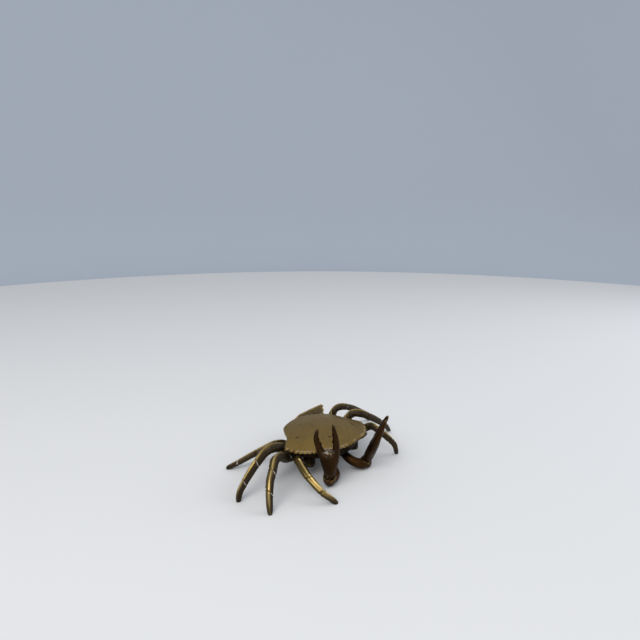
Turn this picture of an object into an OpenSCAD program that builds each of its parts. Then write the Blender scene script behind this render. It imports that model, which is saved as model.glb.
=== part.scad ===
// Crab figurine in cast brass: a shallow body pan on eight legs, two raised
// claws, and a carapace that opens as a lid on a hinge at the rear margin.
// The crab looks towards -Y, its left side is +X, and the feet stand on Z = 0.

/* [Carapace] */
// Width of the carapace between its side points
carapace_w = 74; // [70:1:79]
// Length of the carapace from front to rear margin
carapace_l = 59.5; // [57:0.5:65]
// Wall of the carapace plate
carapace_wall = 1.6; // [1.2:0.1:2]
// Radius of the dome that the plate is curved to
dome_r = 135; // [110:1:170]
// Height of the top of the dome
dome_top = 28.2; // [27.4:0.2:33]
// Number of bead teeth along each front side margin
teeth = 14; // [8:1:18]
// How far each tooth stands out
tooth_depth = 0.9; // [0.4:0.1:1.2]

/* [Body pan] */
// Distance from the carapace margin in to the side of the pan
pan_inset = 5; // [4:0.5:7]
// Wall of the pan
pan_wall = 2; // [1.5:0.1:3]
// Height of the lowest point of the pan
pan_low = 9.5; // [8.5:0.5:11]
// Radius of the pan's bowl
pan_r = 62; // [56:1:75]
// Gap between the rim of the pan and the closed lid
rim_gap = 0.3; // [0.2:0.05:0.6]

/* [Hinge] */
// Diameter of the hinge pin
pin_d = 2; // [1.6:0.1:2.4]
// Radial running clearance of the lid on its pin
pin_play = 0.05; // [0.03:0.01:0.08]
// Outer diameter of the hinge knuckles
knuckle_d = 5.2; // [4.6:0.1:5.6]
// Length of the knuckle on the lid
lid_knuckle_l = 17; // [12:0.5:18]
// Length of each knuckle on the pan
pan_knuckle_l = 3.6; // [3:0.1:4.2]
// Side gap between neighbouring knuckles
knuckle_gap = 0.3; // [0.2:0.05:0.6]
// Distance of the pin's centre below the rear margin of the lid
pin_drop = 3.3; // [3.1:0.1:4]
// Distance of the pin's centre in from the rear margin
pin_in = 1.5; // [1:0.1:2]

/* [Tail plate] */
// Thickness of the tail plate
tail_t = 1.5; // [1.2:0.1:2]
// Distance of the plate behind the hinge pin
tail_back = 9; // [8:0.1:10]
// Height of the plate's top above the hinge pin
tail_rise = 5.4; // [5:0.2:8]
// Where the plate ends on the crab's left
tail_left = 30.5; // [29.5:0.5:33]
// Where the plate ends on the crab's right
tail_right = -1; // [-3:0.5:1]
// Distance of the plate's own knuckle in from its left end
tail_knuckle_in = 11; // [10.5:0.5:12]
// Depth of each groove across the plate
tail_groove = 0.4; // [0.2:0.1:0.6]

/* [Legs] */
// Width of a leg at the thigh
leg_w = 8.2; // [7:0.2:9]
// Height of a leg at the thigh
leg_h = 7.6; // [6.6:0.2:8.6]
// Width of a leg just above its foot
foot_w = 4.4; // [3.6:0.2:5.4]
// Depth of the incised joint lines
joint_cut = 0.55; // [0.2:0.05:0.8]
// Slant of the joint lines
joint_slant = 0.8; // [0:0.05:1]
// Distance of the farthest foot from the middle line
leg_reach = 78; // [76:0.5:80]
// Radius of the flat root of each leg
root_r = 4.1; // [3.6:0.1:4.3]
// Thickness of the flat root
root_t = 2.4; // [2:0.1:3]
// Distance between neighbouring leg roots
leg_pitch = 9; // [8.8:0.1:9.6]
// Distance of the rear legs behind the middle of the carapace
rear_leg_back = 14; // [12.5:0.5:15.5]

/* [Claws] */
// Width of the claw's palm
palm_w = 14; // [12:0.5:16]
// Thickness of the claw's palm
palm_t = 7.4; // [6:0.2:9]
// Length of the palm from the wrist to the crotch of the fingers
palm_l = 21; // [18:0.5:24]
// Length of the inner finger from the crotch to its tip
finger_l = 22.5; // [18:0.5:25]
// Forward and outward lean of the raised right claw
right_claw_lean = 5; // [3:1:14]
// Forward and outward lean of the raised left claw
left_claw_lean = 24; // [16:1:26]
// Direction of the right claw's lean, from straight ahead out to its side
right_lean_side = 40; // [20:1:60]
// Direction of the left claw's lean, from straight ahead out to its side
left_lean_side = 10; // [5:1:45]
// Turn of the claw outwards
claw_turn = -37; // [-50:1:-20]
// Distance of the right wrist from the middle line
wrist_x = 18; // [17:0.2:20]
// Distance of the right wrist in front of the carapace's middle
wrist_y = 32.9; // [31.5:0.2:35.5]
// How much nearer the body the left wrist is
left_wrist_near = 2; // [0:0.2:3]
// Height of the wrists
wrist_z = 6.6; // [6.2:0.1:8]
// Diameter of the round tang that joins palm and arm
tang_d = 4.4; // [3.6:0.2:5]
// Diameter of the collar at the wrist
collar_d = 9; // [8.4:0.2:10]

/* [Rivets] */
// Shank diameter of the leg and claw rivets
rivet_d = 2.4; // [2:0.1:3]
// Head diameter of the leg and claw rivets
rivet_head_d = 4.4; // [3.8:0.1:5]
// Height of a rivet head
rivet_head_h = 0.9; // [0.6:0.1:1.2]
// Radial clearance of the rivets in their holes
rivet_play = 0.05; // [0.02:0.01:0.1]

/* [Hidden] */
brass = [0.43, 0.37, 0.20];
dark_brass = [0.20, 0.16, 0.09];
worn_brass = [0.52, 0.44, 0.22];
fine = 48;
small = 28;
eps = 0.01;

// Middle of the carapace on the crab's middle line, and its half sizes
mid_y = 6.5;
half_w = carapace_w / 2;
half_l = carapace_l / 2;

// Dome of the lid: outer and inner sphere share one centre
dome_z = dome_top - dome_r;
under_r = dome_r - carapace_wall;
function dome_height(x, y, r) = dome_z + sqrt(r * r - x * x - (y - mid_y) * (y - mid_y));

// Bowl of the pan: outer and inner sphere share one centre
bowl_z = pan_low + pan_r;
floor_r = pan_r - pan_wall;
function floor_height(x, y) = bowl_z - sqrt(floor_r * floor_r - x * x - (y - mid_y) * (y - mid_y));

// Hinge pin, on a line across the crab
pin_y = mid_y + half_l - pin_in;
pin_z = dome_height(0, pin_y, under_r) - pin_drop;
knuckle_r = knuckle_d / 2;
pan_knuckle_x = lid_knuckle_l / 2 + knuckle_gap;
tail_knuckle_x = tail_left - tail_knuckle_in;

// Rear ledge of the pan: it carries the knuckles, and the foot of the tail plate is
// riveted under its left end
ledge_t = 2;
ledge_sink = 0.5;
ledge_top = pin_z - knuckle_r + ledge_sink;
ledge_low = ledge_top - ledge_t;
ledge_right = -pan_knuckle_x - pan_knuckle_l;
ledge_left = tail_knuckle_x - knuckle_gap;
tail_y = pin_y + tail_back;
tail_foot_right = pan_knuckle_x + pan_knuckle_l;
tail_foot_low = ledge_low - tail_t;
tail_foot_l = ledge_left - tail_foot_right;
tail_rivet_x = [tail_foot_right + 0.24 * tail_foot_l, tail_foot_right + 0.76 * tail_foot_l];
tail_rivet_y = pin_y - 0.4;
tail_rivet_r = 0.9;
tail_rivet_head_r = 1.4;
tail_rivet_head_h = 0.35;

// Flat seats of the legs and arms under the pan
seat_z = pan_low + 1.5;
root_low = seat_z - root_t;
root_mid = seat_z - root_t / 2;

// Curve through a list of points: position at parameter u, from 0 to the last index
function spline_step(a, b, c, d, t) =
    0.5 * (2 * b + (c - a) * t + (2 * a - 5 * b + 4 * c - d) * t * t + (3 * b - a - 3 * c + d) * t * t * t);
function at(points, i) = points[min(max(i, 0), len(points) - 1)];
function curve(points, u) =
    let (i = min(floor(u), len(points) - 2), t = u - i)
    spline_step(at(points, i - 1), at(points, i), at(points, i + 1), at(points, i + 2), t);
function unit(v) = v / norm(v);
function bell(t, centre, width) = exp(-pow((t - centre) / width, 2));

// Half outline of the carapace from the middle of the front to the middle of
// the rear, as shares of the half width and half length
half_outline = [[0, -1.0], [0.24, -0.95], [0.48, -0.85], [0.70, -0.70], [0.88, -0.47], [1.0, -0.13],
    [0.87, 0.04], [0.77, 0.20], [0.70, 0.44], [0.59, 0.70], [0.42, 0.85], [0.21, 0.96], [0, 1.0]];
tip_index = 5;
outline_end = len(half_outline) - 1;
outline_steps = 5;
front_side = [for (i = [0:tip_index]) half_outline[i]];
rear_side = [for (i = [tip_index:outline_end]) half_outline[i]];

// One point of the outline, drawn in from the margin by inset
function outline_point(share, inset) =
    [share[0] * (half_w - inset), mid_y + share[1] * (half_l - inset)];
function outward(points, u) =
    let (a = curve(points, max(u - 0.05, 0)), b = curve(points, min(u + 0.05, len(points) - 1)))
    unit([(b - a)[1], -(b - a)[0]]);

// Front margin of one side with its teeth, then the smooth rear margin
function toothed_front(depth) =
    [for (i = [0:teeth - 1], k = [0:2])
        let (u = (i + k / 3) * tip_index / teeth, lift = k == 0 ? 0 : depth)
        outline_point(curve(front_side, u), 0) + lift * outward(front_side, u)];
function smooth_part(points, inset) =
    let (n = (len(points) - 1) * outline_steps)
    [for (i = [0:n]) outline_point(curve(points, i / outline_steps), inset)];
function both_sides(right) =
    concat(right, [for (i = [len(right) - 2:-1:1]) [-right[i][0], right[i][1]]]);
function lid_outline() = both_sides(concat(toothed_front(tooth_depth), smooth_part(rear_side, 0)));
function pan_outline(inset) = both_sides(smooth_part(half_outline, inset));

// Solid inside the pan's outer faces, grown by a small amount
module pan_block(grow) {
    intersection() {
        linear_extrude(height = dome_top) polygon(pan_outline(pan_inset - grow));
        translate([0, mid_y, bowl_z]) sphere(r = pan_r + grow, $fn = fine);
        translate([0, mid_y, dome_z]) sphere(r = under_r - rim_gap, $fn = fine);
    }
}

module pan_hollow() {
    intersection() {
        translate([0, 0, pan_low])
            linear_extrude(height = dome_top) polygon(pan_outline(pan_inset + pan_wall));
        union() {
            translate([0, mid_y, bowl_z]) sphere(r = floor_r, $fn = fine);
            translate([0, 0, bowl_z]) linear_extrude(height = dome_top) polygon(pan_outline(pan_inset));
        }
    }
}

// Places of the leg roots on the crab's left, from front to rear, and of the arm root
root_inset = [16, 15, 17, 22];
leg_roots = [for (i = [0:3]) [half_w - root_inset[i], mid_y + rear_leg_back - (3 - i) * leg_pitch]];
arm_root = [8.5, mid_y - 15.5];
side_roots = concat(leg_roots, [arm_root]);
all_roots = concat(side_roots, [for (p = side_roots) [-p[0], p[1]]]);

rivet_r = rivet_d / 2;
rivet_head_r = rivet_head_d / 2;
boss_r = rivet_head_r + 0.6;
boss_rise = 0.2;
seat_h = 4.5;
// Top of the boss round a rivet inside the pan, at the height of the floor on its outer side
function boss_top(p) =
    let (out = unit([p[0], p[1] - mid_y]), q = p + boss_r * out)
    floor_height(q[0], q[1]) + boss_rise;

module round_rod(p, r, low, high) {
    translate([p[0], p[1], low]) cylinder(r = r, h = high - low, $fn = small);
}

// Knuckle or bore along the hinge line, from x0 to x1
module hinge_round(r, x0, x1) {
    translate([x0, pin_y, pin_z]) rotate([0, 90, 0]) cylinder(r = r, h = x1 - x0, $fn = small);
}

module body_pan() {
    color(dark_brass) difference() {
        union() {
            difference() {
                union() {
                    pan_block(0);
                    for (p = all_roots) round_rod(p, root_r, seat_z, seat_z + seat_h);
                    rear_ledge();
                }
                pan_hollow();
            }
            for (p = all_roots) round_rod(p, boss_r, seat_z + 1, boss_top(p));
            for (s = [-1, 1]) pan_knuckle(s);
        }
        for (p = all_roots) round_rod(p, rivet_r + rivet_play, 0, dome_top);
        for (x = tail_rivet_x) round_rod([x, tail_rivet_y], tail_rivet_r + rivet_play, 0, pin_z);
        hinge_round(pin_d / 2, ledge_right - 1, tail_foot_right + 1);
        hinge_round(knuckle_r + knuckle_gap, -pan_knuckle_x, pan_knuckle_x);
    }
}

module rear_ledge() {
    front = mid_y + half_l - pan_inset - pan_wall;
    translate([ledge_right, front, ledge_low])
        cube([ledge_left - ledge_right, pin_y + knuckle_r - front, ledge_t]);
}

module pan_knuckle(side) {
    x0 = side > 0 ? pan_knuckle_x : ledge_right;
    hinge_round(knuckle_r, x0, x0 + pan_knuckle_l);
    translate([x0, pin_y - knuckle_r, ledge_low + ledge_t / 2])
        cube([pan_knuckle_l, 2 * knuckle_r, pin_z - ledge_low - ledge_t / 2]);
}

dimples = [[-17, 2], [0, 5], [17, 2]];
dimple_r = 3;
dimple_depth = 0.5;

module carapace_lid() {
    half = lid_knuckle_l / 2;
    web_behind = 0.8;
    color(brass) difference() {
        union() {
            intersection() {
                linear_extrude(height = dome_top + 1) polygon(lid_outline());
                difference() {
                    translate([0, mid_y, dome_z]) sphere(r = dome_r, $fn = fine);
                    translate([0, mid_y, dome_z]) sphere(r = under_r, $fn = fine);
                }
            }
            intersection() {
                union() {
                    hinge_round(knuckle_r, -half, half);
                    translate([-half, pin_y - knuckle_r, pin_z])
                        cube([lid_knuckle_l, knuckle_r + web_behind, dome_top - pin_z]);
                }
                translate([0, mid_y, dome_z]) sphere(r = dome_r - carapace_wall / 2, $fn = fine);
            }
        }
        hinge_round(pin_d / 2 + pin_play, -half - 1, half + 1);
        for (d = dimples)
            translate([d[0], d[1], dome_height(d[0], d[1], dome_r) + dimple_r - dimple_depth])
                sphere(r = dimple_r, $fn = small);
    }
}

// Fin of the tail plate seen from behind. Its notched left end is set out from the left
// end and the pin, its top edge falls away to the right from the left end and the top.
fin_left_end = [[-8, tail_foot_low - pin_z], [-4, -3.5], [0, -2.6], [0.4, 0.6], [-1.2, 2.2], [0, 3.4]];
fin_top_edge = [[-0.8, -0.4], [-2.5, 0], [-14, -1.4], [-26, -3.4]];
fin_right_drop = 1.5;
function fin_outline() = concat([[tail_right, tail_foot_low]],
    [for (q = fin_left_end) [tail_left + q[0], pin_z + q[1]]],
    [for (q = fin_top_edge) [tail_left + q[0], pin_z + tail_rise + q[1]]],
    [[tail_right, pin_z - fin_right_drop]]);
groove_pitch = 2.2;
groove_w = 0.5;

module tail_plate() {
    foot_front = pin_y - 3;
    color(brass) difference() {
        union() {
            translate([0, tail_y + tail_t, 0])
                rotate([90, 0, 0]) linear_extrude(height = tail_t) polygon(fin_outline());
            translate([tail_foot_right, foot_front, tail_foot_low])
                cube([tail_foot_l, tail_y - foot_front + tail_t / 2, tail_t]);
            hinge_round(knuckle_r, tail_knuckle_x, tail_knuckle_x + pan_knuckle_l);
            translate([tail_knuckle_x, pin_y, pin_z - knuckle_r])
                cube([pan_knuckle_l, tail_back + tail_t / 2, tail_t]);
        }
        hinge_round(pin_d / 2, tail_knuckle_x - 1, tail_knuckle_x + pan_knuckle_l + 1);
        for (x = tail_rivet_x) round_rod([x, tail_rivet_y], tail_rivet_r + rivet_play, 0, pin_z);
        for (i = [1:3])
            translate([tail_right - 1, tail_y - 1, pin_z + tail_rise - i * groove_pitch])
                cube([tail_left - tail_right + 3, 1 + tail_groove, groove_w]);
    }
}

module hinge_pin() {
    end_out = 0.4;
    left_end = tail_knuckle_x + pan_knuckle_l + end_out;
    color(dark_brass) hinge_round(pin_d / 2, ledge_right - end_out, left_end);
}

// Low domed head on a flat seat, pointing up
module rivet_head(r, h) {
    ball_r = (r * r + h * h) / (2 * h);
    intersection() {
        translate([0, 0, h - ball_r]) sphere(r = ball_r, $fn = fine);
        cylinder(r = r + 1, h = h + 1, $fn = small);
    }
}

module rivet(p, r, head_r, head_h, low, high) {
    round_rod(p, r, low - head_h / 2, high + head_h / 2);
    translate([p[0], p[1], high]) rivet_head(head_r, head_h);
    translate([p[0], p[1], low]) rotate([180, 0, 0]) rivet_head(head_r, head_h);
}

module leg_rivets() {
    color(worn_brass) for (s = [-1, 1], p = leg_roots) {
        q = [s * p[0], p[1]];
        rivet(q, rivet_r, rivet_head_r, rivet_head_h, root_low, boss_top(q));
    }
}

module claw_rivets() {
    color(worn_brass) for (s = [-1, 1]) {
        q = [s * arm_root[0], arm_root[1]];
        rivet(q, rivet_r, rivet_head_r, rivet_head_h, root_low, boss_top(q));
    }
}

module tail_rivets() {
    color(worn_brass) for (x = tail_rivet_x) {
        q = [x, tail_rivet_y];
        rivet(q, tail_rivet_r, tail_rivet_head_r, tail_rivet_head_h, tail_foot_low, ledge_top);
    }
}

// Tapered tube along a curve. Each ring has its own width, height, keel and slant.
ring_sides = 12;

// Point of a ring: an oval with a ridge along its top
function ring_offset(a, w, h, keel) =
    [w / 2 * cos(a), h / 2 * (sin(a) + keel * pow(max(sin(a), 0), 6))];

function ring(points, u, w, h, keel, slant) =
    let (c = curve(points, u),
         ahead = unit(curve(points, min(u + 0.02, len(points) - 1)) - curve(points, max(u - 0.02, 0))),
         across = unit([-ahead[1], ahead[0], 0]),
         up = cross(ahead, across))
    [for (k = [0:ring_sides - 1])
        let (q = ring_offset(360 * k / ring_sides, w, h, keel))
        c + q[0] * across + q[1] * up + slant * q[0] * ahead];

module tube(rings) {
    n = len(rings);
    m = ring_sides;
    points = [for (r = rings) for (p = r) p];
    sides = [for (i = [0:n - 2], k = [0:m - 1])
        let (a = i * m + k, b = i * m + (k + 1) % m)
        for (f = [[b, a, b + m], [b + m, a, a + m]]) f];
    caps = [[for (k = [0:m - 1]) k], [for (k = [m - 1:-1:0]) (n - 1) * m + k]];
    polyhedron(points = points, faces = concat(caps, sides), convexity = 6);
}

// Rings of a leg: shares of its length, closer together at the joint lines. It grows to
// its full height over root_run and rounds off to its end from foot_start.
leg_joints = [0.34, 0.56, 0.76];
joint_half = 0.018;
root_run = 0.15;
foot_start = 0.9;
foot_run = 0.115;
leg_keel = 0.16;
function round_joint(i) = [leg_joints[i] - joint_half, leg_joints[i], leg_joints[i] + joint_half];
leg_shares = concat([0, 0.06, 0.12, 0.18, 0.25, 0.31], round_joint(0), [0.40, 0.47], round_joint(1),
    [0.63, 0.70], round_joint(2), [0.84, foot_start, 0.95, 0.98, 1]);
function joint_dip(t) = max([for (j = leg_joints) abs(t - j) < joint_half / 2 ? 1 : 0]);
function leg_taper(t) =
    1 - (1 - foot_w / leg_w) * pow(t, 1.2) + 0.06 * bell(t, 0.45, 0.09) + 0.04 * bell(t, 0.66, 0.08);
function foot_round(t) = t < foot_start ? 1 : sqrt(max(1 - pow((t - foot_start) / foot_run, 2), 0.02));
function leg_width(t) = (leg_w * leg_taper(t) - 2 * joint_cut * joint_dip(t)) * foot_round(t);
function leg_height(t) =
    let (open = min(t / root_run, 1))
    root_t * (1 - open) + (leg_h * leg_taper(t) - 2 * joint_cut * joint_dip(t)) * foot_round(t) * open;

// Leg: bends are the points after the root, girth scales its section, and last is how
// much of its length there is
module leg(root, bends, girth, last) {
    path = concat([[root[0], root[1], root_mid]], bends);
    steps = len(path) - 1;
    shares = [for (t = leg_shares) if (t <= last) t];
    rings = [for (t = shares)
        let (open = min(t / root_run, 1), slant = joint_slant * open * min((1 - t) / root_run, 1))
        ring(path, t * steps, girth * leg_width(t), girth * leg_height(t), leg_keel * open, slant)];
    difference() {
        union() {
            tube(rings);
            round_rod(root, root_r, root_low, seat_z);
        }
        room_for_pan(root);
        translate([-table_size / 2, -table_size / 2, -table_t]) cube([table_size, table_size, table_t]);
    }
}
table_size = 300;
table_t = 20;

// Space of the pan, its seats and the rivet with its lower head, taken out of a leg or arm
module room_for_pan(root) {
    pan_block(pan_clear);
    for (p = all_roots) round_rod(p, root_r + eps, seat_z, seat_z + seat_h);
    round_rod(root, rivet_r + rivet_play, 0, seat_z + 1);
    round_rod(root, rivet_head_r + rivet_play, 0, root_low);
}
pan_clear = 0.03;

// Bends of the legs as the casting was set, for a reach of set_reach. They are measured
// from a point just inside the side points and just behind the carapace's middle.
set_reach = 78;
side_x = half_w - 0.5;
side_y = mid_y + 1.5;
function set_out(points, sign) =
    let (k = leg_reach / set_reach)
    [for (p = points) [sign * (side_x + k * p[0]), side_y + k * p[1], p[2]]];

right_rear_bends = set_out([[-14, 13.5, 13], [-9.5, 14.8, 15.2], [-3, 16.2, 15.6], [5, 18.2, 13],
    [13, 21.5, 9.5], [21, 25, 5.4], [27, 28.6, 1.9], [29.2, 31, -0.4]], -1);
right_third_bends = set_out([[-9.5, 3.8, 14.6], [0, 1.7, 20.2], [9, -1.6, 23.9], [16.5, -4.6, 24.3],
    [23, -6.6, 21], [30, -8.5, 16], [35.5, -9.8, 11], [39.7, -10.8, 5.5], [41.5, -11.5, -0.4]], -1);
right_second_bends = set_out([[-7.5, -5.2, 13.4], [1.2, -7.8, 16.4], [8.2, -11.8, 21.8], [15, -16.4, 23],
    [20.5, -22, 20], [25.5, -27, 16], [28.5, -31, 11], [30, -33.5, 5.5], [31.5, -36.5, -0.4]], -1);
front_bends = [[-10.5, -12, 14.1], [-5, -15, 16.5], [-2.5, -22.5, 16.2], [-1, -31.5, 14],
    [-1.5, -39.5, 11], [-3.5, -46, 7], [-7, -50.5, 3.5], [-10.5, -53, -0.4]];
right_front_bends = set_out(front_bends, -1);
left_front_bends = set_out(front_bends, 1);
left_rear_bends = set_out([[-10.5, 18, 13.5], [-6, 23.5, 19], [-2, 23.6, 24.4], [4, 21.2, 25.6],
    [14, 21, 21.6], [26, 24, 14.6], [34, 25.8, 8.6], [42.5, 28, -0.4]], 1);
left_third_bends = set_out([[-9, 6, 15], [-1.5, 9, 20.8], [3.5, 6.8, 24.8], [8.5, 2.6, 24.6],
    [14, 0.3, 21.6], [21, -0.5, 17.3], [29, -1, 11.5], [35.4, -0.8, 6.4], [42, 1.5, -0.4]], 1);
left_second_bends = set_out([[-7.5, -4.6, 13.4], [0, -6.4, 15.4], [4.9, -12.5, 20], [5.4, -19.8, 20.2],
    [9, -28.3, 15], [14, -31.5, 8], [17, -31, -0.4]], 1);

function mirrored(p) = [-p[0], p[1]];

module right_front_leg() {
    color(brass) leg(mirrored(leg_roots[0]), right_front_bends, 0.82, 1);
}
module right_second_leg() {
    color(brass) leg(mirrored(leg_roots[1]), right_second_bends, 0.9, 1);
}
module right_third_leg() {
    color(brass) leg(mirrored(leg_roots[2]), right_third_bends, 0.96, 1);
}
module right_rear_leg() {
    color(brass) leg(mirrored(leg_roots[3]), right_rear_bends, 0.76, 1);
}
module left_front_leg_stub() {
    color(brass) leg(leg_roots[0], left_front_bends, 0.82, 0.25);
}
module left_second_leg() {
    color(brass) leg(leg_roots[1], left_second_bends, 0.86, 1);
}
module left_third_leg() {
    color(brass) leg(leg_roots[2], left_third_bends, 0.92, 1);
}
module left_rear_leg() {
    color(brass) leg(leg_roots[3], left_rear_bends, 0.86, 1);
}

// Claw arm on the crab's right
collar_r = collar_d / 2;
collar_h = 2.6;
elbow_r = 4;
elbow_drop = 2.2;
tang_r = tang_d / 2;
socket_depth = 2.4;
tang_end_gap = 0.1;
arm_d = 7.6;
// Set of a hand on the crab's right: its lean, the lean's direction and its wrist. The
// left hand is mirrored from such a set.
right_hand = [right_claw_lean, right_lean_side, [-wrist_x, mid_y - wrist_y, wrist_z]];
left_hand = [left_claw_lean, left_lean_side,
    [-wrist_x - left_wrist_near / 2, mid_y - wrist_y + left_wrist_near, wrist_z]];

// Places a child's Z axis along the raised claw, with the wrist at its origin
module at_wrist(hand) {
    translate(hand[2]) rotate(a = hand[0], v = [cos(hand[1]), -sin(hand[1]), 0])
        rotate([0, 0, claw_turn]) children();
}

arm_shares = [0, 0.08, 0.16, 0.25, 0.35, 0.45, 0.55, 0.65, 0.75, 0.85, 0.93, 1];
function arm_size(t) = arm_d * (0.92 + 0.14 * bell(t, 0.72, 0.3)) * (t < 0.9 ? 1 : 0.94);
function arm_height(t) = let (open = min(t / 0.2, 1)) root_t * (1 - open) + 0.9 * arm_size(t) * open;

// Round along the claw's own axis, from low to high
module wrist_round(r, low, high) {
    translate([0, 0, low]) cylinder(r = r, h = high - low, $fn = fine);
}

module claw_arm(hand) {
    root = [-arm_root[0], arm_root[1]];
    elbow = hand[2] - [0, 0, elbow_drop];
    path = [[root[0], root[1], root_mid], [root[0] - 0.2, root[1] - 7.5, 7.8],
        [elbow[0] + 7.4, elbow[1] + 3.6, 5.6], [elbow[0] + 3.4, elbow[1] + 0.8, 4.6], elbow];
    rings = [for (t = arm_shares)
        ring(path, t * (len(path) - 1), arm_size(t), arm_height(t), 0.1 * min(t / 0.2, 1), 0)];
    difference() {
        union() {
            tube(rings);
            round_rod(root, root_r, root_low, seat_z);
            translate(elbow) sphere(r = elbow_r, $fn = fine);
            at_wrist(hand) wrist_round(collar_r, -collar_h, 0);
        }
        room_for_pan(root);
        at_wrist(hand) {
            wrist_round(tang_r + rivet_play, -socket_depth, palm_l);
            wrist_round(palm_w / 2, eps, palm_l);
            wrist_bore();
        }
    }
}

wrist_pin_d = 1.2;
wrist_pin_z = -1.3;
module wrist_bore() {
    translate([0, collar_r + 2, wrist_pin_z]) rotate([90, 0, 0])
        cylinder(r = wrist_pin_d / 2 + rivet_play, h = collar_d + 4, $fn = small);
}

// Rings of a claw in its own frame: [height, offset across, width, thickness]
function claw_ring(s) =
    [for (k = [0:ring_sides - 1])
        let (a = 360 * k / ring_sides)
        [s[1] + s[2] / 2 * cos(a), s[4] + s[3] / 2 * sin(a), s[0]]];

// Palm: shares of its length, width and thickness
palm_rings = [for (s = [[0.02, 0.54, 0.84], [0.10, 0.55, 0.92], [0.30, 0.66, 1.0], [0.52, 0.84, 1.0],
    [0.74, 0.98, 0.98], [0.90, 1.0, 0.92], [1.0, 0.92, 0.80], [1.05, 0.70, 0.55]])
    [s[0] * palm_l, 0, s[1] * palm_w, s[2] * palm_t, 0]];
// Fingers: share of the finger's length, then offset across, width and thickness
inner_rings = [for (s = [[-0.40, 3.4, 5.4, 5.6], [-0.15, 4.0, 5.6, 5.6], [0.05, 4.5, 5.2, 5.2],
    [0.25, 4.5, 4.6, 4.8], [0.45, 4.1, 4.2, 4.3], [0.65, 3.4, 3.5, 3.5], [0.82, 2.7, 2.6, 2.7],
    [0.94, 2.2, 1.6, 1.8], [1.0, 2.0, 0.6, 0.7]])
    [palm_l + s[0] * finger_l, s[1], s[2], s[3], 0.5 * s[0]]];
outer_share = 0.86;
outer_rings = [for (s = [[-0.50, -3.2, 5.4, 5.6], [-0.20, -4.6, 5.8, 5.6], [0.05, -6.2, 5.6, 5.2],
    [0.25, -7.6, 4.8, 4.7], [0.45, -8.8, 4.1, 4.2], [0.62, -9.3, 3.5, 3.6], [0.80, -8.9, 2.8, 2.8],
    [0.93, -8.1, 1.8, 1.9], [1.0, -7.6, 0.6, 0.7]])
    [palm_l + s[0] * finger_l * outer_share, s[1], s[2], s[3], -0.4 * s[0]]];

module claw(hand) {
    difference() {
        at_wrist(hand) union() {
            tube([for (s = palm_rings) claw_ring(s)]);
            tube([for (s = inner_rings) claw_ring(s)]);
            tube([for (s = outer_rings) claw_ring(s)]);
            wrist_round(tang_r, -socket_depth + tang_end_gap, palm_l / 2);
        }
        at_wrist(hand) wrist_bore();
    }
}

module right_claw_arm() {
    color(dark_brass) claw_arm(right_hand);
}
module left_claw_arm() {
    color(dark_brass) mirror([1, 0, 0]) claw_arm(left_hand);
}
module right_claw() {
    color(dark_brass) claw(right_hand);
}
module left_claw() {
    color(dark_brass) mirror([1, 0, 0]) claw(left_hand);
}

module wrist_pin(hand) {
    at_wrist(hand) translate([0, collar_r - 0.5, wrist_pin_z]) rotate([90, 0, 0])
        cylinder(r = wrist_pin_d / 2, h = collar_d - 1, $fn = small);
}
module wrist_pins() {
    color(worn_brass) {
        wrist_pin(right_hand);
        mirror([1, 0, 0]) wrist_pin(left_hand);
    }
}

body_pan();
carapace_lid();
tail_plate();
hinge_pin();
tail_rivets();
right_front_leg();
right_second_leg();
right_third_leg();
right_rear_leg();
left_front_leg_stub();
left_second_leg();
left_third_leg();
left_rear_leg();
leg_rivets();
right_claw_arm();
left_claw_arm();
right_claw();
left_claw();
claw_rivets();
wrist_pins();
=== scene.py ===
from math import cos, exp, pi, radians, sin, sqrt

import bmesh
import bpy
import numpy as np
from bpy.props import FloatProperty, FloatVectorProperty, IntProperty, PointerProperty
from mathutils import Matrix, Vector, noise


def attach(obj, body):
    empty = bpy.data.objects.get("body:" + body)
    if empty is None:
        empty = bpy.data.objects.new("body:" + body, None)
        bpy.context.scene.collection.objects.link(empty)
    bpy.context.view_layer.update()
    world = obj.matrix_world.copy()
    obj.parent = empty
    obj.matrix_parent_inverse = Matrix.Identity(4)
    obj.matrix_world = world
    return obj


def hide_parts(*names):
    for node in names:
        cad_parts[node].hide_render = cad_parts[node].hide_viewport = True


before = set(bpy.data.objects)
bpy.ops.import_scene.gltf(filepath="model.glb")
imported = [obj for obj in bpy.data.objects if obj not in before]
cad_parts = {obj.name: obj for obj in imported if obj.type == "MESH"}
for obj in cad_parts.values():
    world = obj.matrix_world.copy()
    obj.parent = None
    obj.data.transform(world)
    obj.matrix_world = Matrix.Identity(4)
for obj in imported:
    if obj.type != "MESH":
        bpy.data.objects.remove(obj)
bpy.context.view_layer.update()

bl_info = {
    "name": "Brass crab box",
    "version": (1, 0, 0),
    "blender": (4, 5, 0),
    "location": "View3D > Sidebar > Crab",
    "description": "Castings and aged brass finishes for a hinged crab box",
    "category": "Add Mesh",
}

MM = 0.001

# The construction's own places, in millimetres
MID_Y = 6.5
HALF_W = 37.0
HALF_L = 29.75
DOME_R = 135.0
DOME_TOP = 28.2
PLATE_T = 1.6
PAN_R = 62.0
PAN_LOW = 9.5
PAN_INSET = 5.0
SEAT_Z = PAN_LOW + 1.5
ROOT_T = 2.4
ROOT_R = 4.1
KNUCKLE_R = 2.6
BORE_R = 1.05
DOME_Z = DOME_TOP - DOME_R
BOWL_Z = PAN_LOW + PAN_R
PIN_Y = MID_Y + HALF_L - 1.5
PIN_Z = DOME_Z + sqrt((DOME_R - PLATE_T) ** 2 - (PIN_Y - MID_Y) ** 2) - 3.3

# Values from 0 to 1 that a casting's mesh carries at each point for its material
# The recess mark darkens hollows with tarnish and also carries painted shade: on the legs' undersides, front
# flanks and roots, and on the arms' roots under the pan and carapace
MARKS = ("wear", "recess_and_shade", "residue")


def seeded(point, scale, seed=0.0):
    """Smooth noise from -1 to 1 at a point in millimetres; scale is the size of its patches."""
    x, y, z = point
    return noise.noise(Vector((x / scale + seed, y / scale - seed, z / scale + 2 * seed)))


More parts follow.
